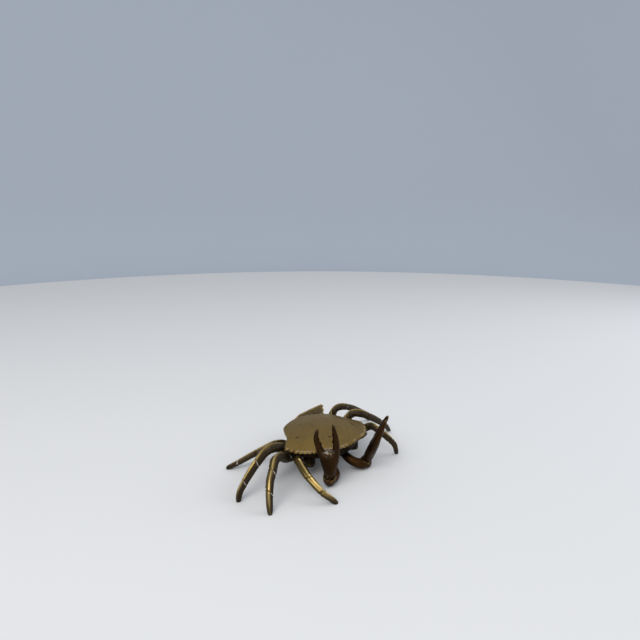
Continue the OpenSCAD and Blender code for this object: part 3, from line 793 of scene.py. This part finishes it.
# Rings of the fingers: share of the finger's length, offset across, width and thickness
INNER_FINGER = [(-0.40, 3.4, 5.4, 5.6), (-0.15, 4.0, 5.6, 5.6), (0.05, 4.5, 5.2, 5.2),
                (0.25, 4.5, 4.6, 4.8), (0.45, 4.1, 4.2, 4.3), (0.65, 3.4, 3.5, 3.5),
                (0.82, 2.7, 2.6, 2.7), (0.94, 2.2, 1.6, 1.8), (1.0, 2.0, 0.6, 0.7)]
OUTER_FINGER = [(-0.50, -3.2, 5.4, 5.6), (-0.20, -4.6, 5.8, 5.6), (0.05, -6.2, 5.6, 5.2),
                (0.25, -7.6, 4.8, 4.7), (0.45, -8.8, 4.1, 4.2), (0.62, -9.3, 3.5, 3.6),
                (0.80, -8.9, 2.8, 2.8), (0.93, -8.1, 1.8, 1.9), (1.0, -7.6, 0.6, 0.7)]
# Rings of the tang in the wrist, in millimetres: height, across, width, thickness, forward
TANG = [(-2.3, 0, 4.4, 4.4, 0), (-1.5, 0, 6.2, 5.6, 0), (0.4, 0, 7.3, 6.1, 0), (6, 0, 4.4, 4.4, 0)]
# How often a blended casting's skin is relaxed, and its curvature evened out
RELAX_PASSES, BEND_PASSES = 4, 4


def turned(v, axis, degrees):
    """A vector turned about an axis by the right-hand rule."""
    a = radians(degrees)
    axis = unit(np.array(axis, float))
    return v * cos(a) + np.cross(axis, v) * sin(a) + axis * (axis @ v) * (1 - cos(a))


def claw_frame(hand):
    """Takes a point in the claw's own frame, wrist at the origin and Z along the palm, to its place."""
    lean, out, wrist = HANDS[hand]
    axis = (cos(radians(out)), -sin(radians(out)), 0)

    def place(point):
        v = turned(turned(np.array(point, float), (0, 0, 1), -CLAW_TURN), axis, lean)
        x, y, z = v + np.array([-wrist[0], wrist[1], wrist[2]])
        return (x if hand == "right" else -x, y, z)
    return place


def smooth_rings(rows, count, sides=40):
    """A tube through rows of (height, across, width, thickness, forward), with count rings."""
    verts = []
    for i in range(count):
        z, x, w, t, y = curve(rows, (len(rows) - 1) * i / (count - 1))
        verts += [(x + max(w, 0.3) / 2 * ca, y + max(t, 0.3) / 2 * sa, z) for ca, sa in circle(sides)]
    return verts, ring_faces(count, sides)


def mesh_points(mesh):
    """The points of a mesh in millimetres, as an array."""
    points = np.empty(len(mesh.vertices) * 3, np.float32)
    mesh.vertices.foreach_get("co", points)
    return points.reshape(-1, 3).astype(float) / MM


def blended(name, parts, material, node, marker):
    """Several closed parts grown into one casting: remeshed, relaxed, roughened and marked."""
    sizes = bpy.context.scene.crab_sizes
    obj = new_object(name, *joined(*parts))
    outward_faces(obj)
    remesh = obj.modifiers.new("skin", "REMESH")
    remesh.mode = "VOXEL"
    remesh.voxel_size = sizes.skin
    relax = obj.modifiers.new("relax", "SMOOTH")
    relax.factor = 0.5
    relax.iterations = RELAX_PASSES
    solid = bpy.data.meshes.new_from_object(obj.evaluated_get(bpy.context.evaluated_depsgraph_get()))
    obj.modifiers.clear()
    obj.data = solid
    roughen(solid, sizes.cast_grain / MM)
    marks = marker(mesh_points(solid), curvature(solid))
    set_marks(solid, [np.clip(values, 0, 1) for values in marks])
    return dress(obj, material, "body", "claw_brass", node)


def roughen(mesh, grain):
    """Moves the points of a mesh in and out a little, as on a sand casting."""
    mesh.update()
    for v in mesh.vertices:
        p = v.co / MM
        v.co += v.normal * grain * MM * (seeded(p, 2.2, 4.0) + 0.7 * seeded(p, 6.0, 8.0))
    mesh.update()


def curvature(mesh):
    """How ridged (above 0) or hollow (below 0) a mesh is at each point, evened out over its neighbours."""
    count, tiny = len(mesh.vertices), 1e-9
    points = mesh_points(mesh)
    normals = np.array([v.normal for v in mesh.vertices])
    edges = np.empty(len(mesh.edges) * 2, np.int32)
    mesh.edges.foreach_get("vertices", edges)
    a, b = edges.reshape(-1, 2).T
    d = points[b] - points[a]
    bend = ((normals[b] - normals[a]) * d).sum(1) / ((d ** 2).sum(1) + tiny)
    total, weight = np.zeros(count), np.zeros(count) + tiny
    for ends in (a, b):
        np.add.at(total, ends, bend)
        np.add.at(weight, ends, 1)
    value = total / weight
    for _ in range(BEND_PASSES):
        spread, number = value.copy(), np.ones(count)
        for near, far in ((a, b), (b, a)):
            np.add.at(spread, near, value[far])
            np.add.at(number, near, 1)
        value = spread / number
    return value


def claw_parts(hand):
    """The palm, its two fingers with their nubs, and the tang, as closed parts in place."""
    place = claw_frame(hand)
    palm = [(z * PALM_L, 0.0, w * PALM_W, t * PALM_T, 0.0) for z, w, t in PALM_RINGS]
    inner = [(PALM_L + s * FINGER_L, x, w, t, 0.5 * s) for s, x, w, t in INNER_FINGER]
    outer = [(PALM_L + s * FINGER_L * OUTER_SHARE, x, w, t, -0.4 * s) for s, x, w, t in OUTER_FINGER]
    parts = [smooth_rings(palm, 40), smooth_rings(inner, 48), smooth_rings(outer, 48)]
    # Each nub: its finger, its place along it, the side that it stands on and its size
    for rows, u, toward, size in ((inner, 3.6, -1, 1.0), (inner, 4.7, -1, 0.8),
                                  (outer, 3.5, 1, 1.1), (outer, 4.6, 1, 0.8)):
        z, x, w, _, y = curve(rows, u)
        parts.append(ball((x + toward * (w / 2 - 0.3), y, z), (size, 1.1 * size, 1.25 * size), 16))
    parts.append(smooth_rings(TANG, 12, 24))
    return [([place(point) for point in points], faces) for points, faces in parts]


def claw_marks(hand):
    """Wear on the claw's ridges, tarnish in its hollows, and residue in the crotch and at the wrist."""
    place = claw_frame(hand)
    crotch = np.array(place((-1.0, -1.5, PALM_L + 1.5)))
    wrist = np.array(place((0, 0, 0.6)))

    def marker(points, bend):
        grain = np.array([seeded(p, 1.6, 2.0) for p in points])
        in_crotch = np.exp(-(np.linalg.norm(points - crotch, axis=1) / 2.6) ** 2)
        at_wrist = np.exp(-(np.linalg.norm(points - wrist, axis=1) / 4.6) ** 2)
        wear = np.clip((bend - 0.45) * 0.7, 0, 0.38) * (0.75 + 0.6 * grain) + 0.12 * in_crotch
        residue = 0.75 * in_crotch * (grain > -0.05) + 0.3 * at_wrist * (grain > 0.3)
        return wear, -bend * 2.2, residue
    return marker


class CRAB_OT_claws(bpy.types.Operator):
    """Adds the two raised claws"""

    bl_idname = "crab.claws"
    bl_label = "Add Claws"

    def execute(self, context):
        brass = aged_brass_with_painted_shade("claw_brass_aged_and_shaded", context.scene.crab_finish.claw, below=0.5, gloss=0.33)
        for hand in HANDS:
            blended(hand + "_claw_casting", claw_parts(hand), brass, hand + "_claw", claw_marks(hand))
        return {"FINISHED"}


# Claw arms

ARM_D = 7.6
ARM_COUNT, ARM_SIDES = 60, 32
ELBOW_DROP, ELBOW_R = 2.2, 4.0
COLLAR_R, COLLAR_H = 4.5, 2.6
CUP_RISE, CUP_DIP = 2.0, -1.5
# Rings of the cup: radius, height, and how far the ring follows the rim's height
CUP_PROFILE = [(COLLAR_R - 0.4, -COLLAR_H, 0), (COLLAR_R, -COLLAR_H + 0.4, 0), (COLLAR_R + 0.1, -1.7, 0.4),
               (COLLAR_R + 0.1, -1.0, 0.92), (COLLAR_R - 0.1, -1.0, 1.0), (COLLAR_R - 0.55, -1.0, 0.98),
               (COLLAR_R - 0.7, -1.6, 0.5), (COLLAR_R - 0.9, -2.0, 0)]


def sided(hand, part):
    """A part made for the right hand, mirrored where it is for the left."""
    points, faces = part
    return ([(-x, y, z) for x, y, z in points], faces) if hand == "left" else part


def arm_bar(root, elbow):
    """The arm's bent bar, from its flat root to its elbow."""
    path = [(root[0], root[1], SEAT_Z - ROOT_T / 2), (root[0] - 0.2, root[1] - 7.5, 7.8),
            (elbow[0] + 7.4, elbow[1] + 3.6, 5.6), (elbow[0] + 3.4, elbow[1] + 0.8, 4.6), elbow]
    edge = pan_edge()
    bar = []
    for i in range(ARM_COUNT):
        t = i / (ARM_COUNT - 1)
        c, _, across, up = along(path, t)
        w = ARM_D * (0.92 + 0.14 * bell(t, 0.72, 0.3)) * (1 if t < 0.9 else 0.94)
        open_out = min(t / 0.2, 1)
        h = ROOT_T * (1 - open_out) + 0.9 * w * open_out
        for ca, sa in circle(ARM_SIDES):
            ridge = 0.1 * open_out * max(sa, 0) ** 6
            bar.append(clear_of_pan(c + w / 2 * ca * across + h / 2 * (sa + ridge) * up, edge))
    return bar, ring_faces(ARM_COUNT, ARM_SIDES)


def wrist_cup(place, sides=48):
    """The cup that holds the palm. Its rim stands up at both sides and dips to a V before and behind."""
    verts = []
    for radius, low, follow in CUP_PROFILE:
        for ca, sa in circle(sides):
            rim = CUP_DIP + (CUP_RISE - CUP_DIP) * abs(ca)
            verts.append(place((radius * ca, radius * sa, low + follow * (rim - low))))
    return verts, ring_faces(len(CUP_PROFILE), sides)


def arm_parts(hand):
    """The arm's bar, its root disc, its elbow and the cup of its wrist, as closed parts in place."""
    wrist = HANDS[hand][2]
    elbow = (-wrist[0], wrist[1], wrist[2] - ELBOW_DROP)
    root = (-ARM_ROOT[0], ARM_ROOT[1])
    pad = disc(*root, ROOT_R, SEAT_Z - ROOT_T, SEAT_Z - 0.02)
    own = [arm_bar(root, elbow), pad, ball(elbow, [ELBOW_R] * 3)]
    return [sided(hand, part) for part in own] + [wrist_cup(claw_frame(hand))]


def arm_marks(points, bend):
    """Wear on the arm's ridges, tarnish in its hollows, painted shade on its root end under the pan and
    carapace, and no residue.
    """
    grain = np.array([seeded(p, 3.0, 6.0) for p in points])
    wear = np.clip((bend - 0.35) * 0.7, 0, 0.28) * (0.7 + 0.7 * grain) * (points[:, 2] > 5)
    # Painted shade: the part behind y = -14, under the pan and the carapace, is darkened by half
    recess_and_shade = np.clip(-bend * 2.0, 0, 1) + 0.5 * (points[:, 1] > -14)
    return wear, recess_and_shade, 0 * wear


class CRAB_OT_claw_arms(bpy.types.Operator):
    """Adds the two bent arms that carry the claws"""

    bl_idname = "crab.claw_arms"
    bl_label = "Add Claw Arms"

    def execute(self, context):
        lighter = [1.3 * part for part in context.scene.crab_finish.claw]
        brass = aged_brass_with_painted_shade("arm_brass_aged_and_shaded", lighter, below=0.7, gloss=0.30)
        for hand in HANDS:
            blended(hand + "_claw_arm_casting", arm_parts(hand), brass, hand + "_claw_arm", arm_marks)
        return {"FINISHED"}


# Tail plate

TAIL_Y = PIN_Y + 9.0
TAIL_T = 1.5
TAIL_TOP = PIN_Z + 5.4
TAIL_LEFT, TAIL_RIGHT = 30.5, -1.0
TAIL_COLUMNS, TAIL_ROWS, TAIL_GROOVES = 150, 46, 8
LEDGE_LOW = PIN_Z - KNUCKLE_R + 0.5 - 2.0
FOOT_LOW = LEDGE_LOW - TAIL_T
TAIL_KNUCKLE = (19.5, 23.1)
TAIL_FOOT = (12.4, 19.2)
# The plate's upper edge, as (x, height), and its lower edge
TAIL_UPPER = [(-1.0, PIN_Z - 1.5), (4.5, TAIL_TOP - 3.4), (16.5, TAIL_TOP - 1.4), (28.0, TAIL_TOP),
              (29.7, TAIL_TOP - 0.4), (30.5, TAIL_TOP - 1.2)]
TAIL_LOWER = [(-1.0, FOOT_LOW), (22.5, FOOT_LOW), (26.5, PIN_Z - 3.5), (30.5, PIN_Z - 2.6)]
# The notched left end, as (height above the pin, how far it stands out)
TAIL_END = [(-3.5, -0.3), (-2.6, 0), (0.6, 0.4), (2.2, -1.2), (3.4, 0), (5.0, -0.8)]


def level(points, at):
    """The second value of a list of pairs, at a first value between them."""
    return float(np.interp(at, *zip(*points)))


def tail_mesh():
    """Points, faces and marks of the grooved fin."""
    front, back, wear, recess_and_shade = [], [], [], []
    middle = TAIL_Y + TAIL_T / 2
    for i in range(TAIL_COLUMNS):
        u = i / (TAIL_COLUMNS - 1)
        x0 = TAIL_RIGHT + u * (TAIL_LEFT - TAIL_RIGHT)
        low = level(TAIL_LOWER, x0)
        high = max(level(TAIL_UPPER, x0), low + 1.2)
        for j in range(TAIL_ROWS):
            v = j / (TAIL_ROWS - 1)
            z = low + v * (high - low)
            x = x0 + level(TAIL_END, z - PIN_Z) * max(0.0, u - 0.9) * 10
            rim = min(1.0, 40 * min(u, 1 - u), 7 * min(v, 1 - v) + 0.001)
            plump = sqrt(1 - (1 - rim) ** 2)
            ripple = 0.5 + 0.5 * cos(2 * pi * TAIL_GROOVES * v)
            relief = 0.08 * seeded((x, 0, z), 2.5, 1.0) - 0.26 * (1 - ripple)
            thick = TAIL_T / 2 * (0.55 + 0.45 * plump) + relief * plump
            front.append((x, middle - thick, z))
            back.append((x, middle + thick, z))
            at_rim = 0.9 * (1 - plump) * (v > 0.5)
            at_end = 11.2 * max(0.0, u - 0.93)
            wear.append(0.5 * ripple * plump * max(v, 0.3) + at_rim + at_end)
            recess_and_shade.append(0.75 * (1 - ripple) * plump)
    return front + back, tail_faces(), (wear * 2, recess_and_shade * 2, [0.0] * (2 * len(wear)))


def tail_faces():
    """Faces of the fin's front and back, and of the border that joins them."""
    columns, rows, total = TAIL_COLUMNS, TAIL_ROWS, TAIL_COLUMNS * TAIL_ROWS
    faces = []
    for i in range(columns - 1):
        for j in range(rows - 1):
            a = i * rows + j
            faces.append((a, a + rows, a + rows + 1, a + 1))
            faces.append((a + total, a + 1 + total, a + rows + 1 + total, a + rows + total))
    border = [i * rows for i in range(columns)] + [(columns - 1) * rows + j for j in range(1, rows)]
    border += [i * rows + rows - 1 for i in range(columns - 2, -1, -1)] + list(range(rows - 2, 0, -1))
    return faces + [(a, a + total, b + total, b) for a, b in zip(border, border[1:] + border[:1])]


class CRAB_OT_tail_plate(bpy.types.Operator):
    """Adds the grooved tail plate with its foot and knuckle"""

    bl_idname = "crab.tail_plate"
    bl_label = "Add Tail Plate"

    def execute(self, context):
        tail = context.scene.crab_finish.tail
        brass = aged_brass_with_painted_shade("tail_brass_aged_and_shaded", tail, below=0.6, gloss=0.34, streaks=TAIL_STREAKS)
        middle, knuckle_low = TAIL_Y + TAIL_T / 2, PIN_Z - KNUCKLE_R
        parts = [knuckle_block(*TAIL_KNUCKLE, lambda x, dy, dz: KNUCKLE_R),
                 slab((TAIL_FOOT[0], PIN_Y - 3, FOOT_LOW), (TAIL_FOOT[1], middle, FOOT_LOW + TAIL_T)),
                 slab((TAIL_KNUCKLE[0], PIN_Y, knuckle_low), (TAIL_KNUCKLE[1], middle, knuckle_low + TAIL_T))]
        made = with_parts(*tail_mesh(), parts, (0.12, 0.3, 0.0))
        outward_faces(casting("tail_plate_casting", *made, brass, "body", "tail_brass", "tail_plate"))
        return {"FINISHED"}


# Pan and fixings: solids of the construction that only need their finish


class CRAB_OT_pan(bpy.types.Operator):
    """Gives the body pan its tarnished finish, darkened to nearly black as painted shade under the carapace
    """

    bl_idname = "crab.pan"
    bl_label = "Finish Body Pan"

    def execute(self, context):
        colour = context.scene.crab_finish.pan
        give_finish("body_pan", aged_brass_with_painted_shade("pan_brass_tarnished_and_shaded", colour, below=0.6, gloss=0.40, marked=False))
        return {"FINISHED"}


class CRAB_OT_fixings(bpy.types.Operator):
    """Gives the pin and the rivets their finish"""

    bl_idname = "crab.fixings"
    bl_label = "Finish Pin and Rivets"

    def execute(self, context):
        finish = context.scene.crab_finish
        lighter = [1.5 * part for part in finish.pan]
        rod = aged_brass_with_painted_shade("pin_brass_drawn", lighter, below=0.3, gloss=0.28, marked=False, streaks=PIN_STREAKS)
        peened = aged_brass_with_painted_shade("rivet_brass_peened", finish.leg, below=0.45, gloss=0.30, marked=False)
        give_finish("hinge_pin", rod)
        for name in ("tail_rivets", "leg_rivets", "claw_rivets", "wrist_pins"):
            give_finish(name, peened)
        return {"FINISHED"}


def give_finish(node, material):
    """Puts one material on a solid of the construction."""
    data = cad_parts[node].data
    data.materials.clear()
    data.materials.append(material)


# Stage: places in metres, angles in degrees

CAMERA_PLACE = (-0.195, -0.2501, 0.185)
CAMERA_TILT, CAMERA_HEADING = 77.3, -37.0
CAMERA_LENS = 25.3125
WALL_HIGH, WALL_AWAY, WALL_BEND = 1.7, 1.3, 0.25
FLOOR_RINGS = [(0.0005, 0.0), (0.3, 0.0), (WALL_AWAY, 0.0)]
LIGHT_AIM = (0, 0, 0.02)
KEY_PLACE, KEY_SIZE, KEY_TINT = (-0.75, -0.35, 0.95), 0.8, (1.0, 0.98, 0.95)
FILL_PLACE, FILL_SIZE, FILL_TINT = (0.85, -0.45, 0.6), 0.7, (0.93, 0.96, 1.0)
SKY_TINT = (0.90, 0.94, 1.0)


def plain_paint(name, colour, rough):
    """Matt paint with a faint unevenness."""
    f = Finish(name)
    tone = f.mix(f.patches(0.25, 3.0) * 0.25, rgb(colour), rgb(colour, [0.93] * 3))
    return f.close(base_color=tone, roughness=rough)


def soft_light(name, place, size, power, colour):
    """A large square light that looks at the crab."""
    data = bpy.data.lights.new(name, "AREA")
    data.shape = "SQUARE"
    data.size = size
    data.energy = power
    data.color = colour
    obj = linked(name, data)
    obj.location = place
    obj.rotation_euler = (Vector(LIGHT_AIM) - Vector(place)).to_track_quat("-Z", "Y").to_euler()


def stage_sheet(name, profile, material, sides=96):
    """A round sheet of the stage, from (radius, height) points in metres."""
    verts = [(r * ca / MM, r * sa / MM, z / MM) for r, z in profile for ca, sa in circle(sides)]
    obj = new_object(name, verts, ring_faces(len(profile), sides, closed_ends=False))
    coat(obj, material)
    return obj


class CRAB_OT_stage(bpy.types.Operator):
    """Adds the pale floor and backdrop, the soft lights, the world and the camera"""

    bl_idname = "crab.stage"
    bl_label = "Add Stage"

    def execute(self, context):
        stage, scene = context.scene.crab_stage, context.scene
        floor = plain_paint("floor_paint", stage.floor, 0.85)
        wall = plain_paint("wall_paint", stage.wall, 0.9)
        stage_sheet("floor", FLOOR_RINGS, floor)
        sweep = [(WALL_AWAY + WALL_BEND * sin(a), WALL_BEND * (1 - cos(a)))
                 for a in np.linspace(0, pi / 2, 12)]
        backdrop = stage_sheet("backdrop", sweep + [(WALL_AWAY + WALL_BEND, WALL_HIGH)], wall)
        backdrop.visible_diffuse = False
        backdrop.visible_shadow = False
        soft_light("key_light", KEY_PLACE, KEY_SIZE, stage.key_power, KEY_TINT)
        soft_light("fill_light", FILL_PLACE, FILL_SIZE, stage.fill_power, FILL_TINT)
        world = bpy.data.worlds.new("studio")
        world.use_nodes = True
        sky = world.node_tree.nodes["Background"]
        sky.inputs["Color"].default_value = rgb(SKY_TINT)
        sky.inputs["Strength"].default_value = stage.sky
        scene.world = world
        lens = bpy.data.cameras.new("camera")
        lens.lens = CAMERA_LENS
        lens.clip_start, lens.clip_end = 0.01, 20
        camera = linked("camera", lens)
        camera.location = CAMERA_PLACE
        camera.rotation_euler = (radians(CAMERA_TILT), 0, radians(CAMERA_HEADING))
        scene.camera = camera
        scene.view_settings.view_transform = "Standard"
        return {"FINISHED"}


# Registration

GROUPS = {"crab_sizes": CrabSizes, "crab_finish": CrabFinish, "crab_stage": CrabStage}
MAKERS = (CRAB_OT_pan, CRAB_OT_carapace, CRAB_OT_tail_plate, CRAB_OT_legs, CRAB_OT_claw_arms,
          CRAB_OT_claws, CRAB_OT_fixings, CRAB_OT_stage)


class CRAB_PT_sidebar(bpy.types.Panel):
    """Lists the crab's pieces and settings"""

    bl_label = "Brass Crab Box"
    bl_idname = "CRAB_PT_sidebar"
    bl_space_type = "VIEW_3D"
    bl_region_type = "UI"
    bl_category = "Crab"

    def draw(self, context):
        for group, kind in GROUPS.items():
            box = self.layout.box()
            for name in kind.__annotations__:
                box.prop(getattr(context.scene, group), name)
        for maker in MAKERS:
            self.layout.operator(maker.bl_idname)


CLASSES = (*GROUPS.values(), *MAKERS, CRAB_PT_sidebar)


def register():
    for kind in CLASSES:
        bpy.utils.register_class(kind)
    for name, kind in GROUPS.items():
        setattr(bpy.types.Scene, name, PointerProperty(type=kind))


def unregister():
    for name in GROUPS:
        delattr(bpy.types.Scene, name)
    for kind in reversed(CLASSES):
        bpy.utils.unregister_class(kind)


def main():
    register()
    bpy.ops.crab.pan()
    bpy.ops.crab.carapace()
    bpy.ops.crab.tail_plate()
    bpy.ops.crab.legs()
    bpy.ops.crab.claw_arms()
    bpy.ops.crab.claws()
    bpy.ops.crab.fixings()
    bpy.ops.crab.stage()


if __name__ == "__main__":
    main()
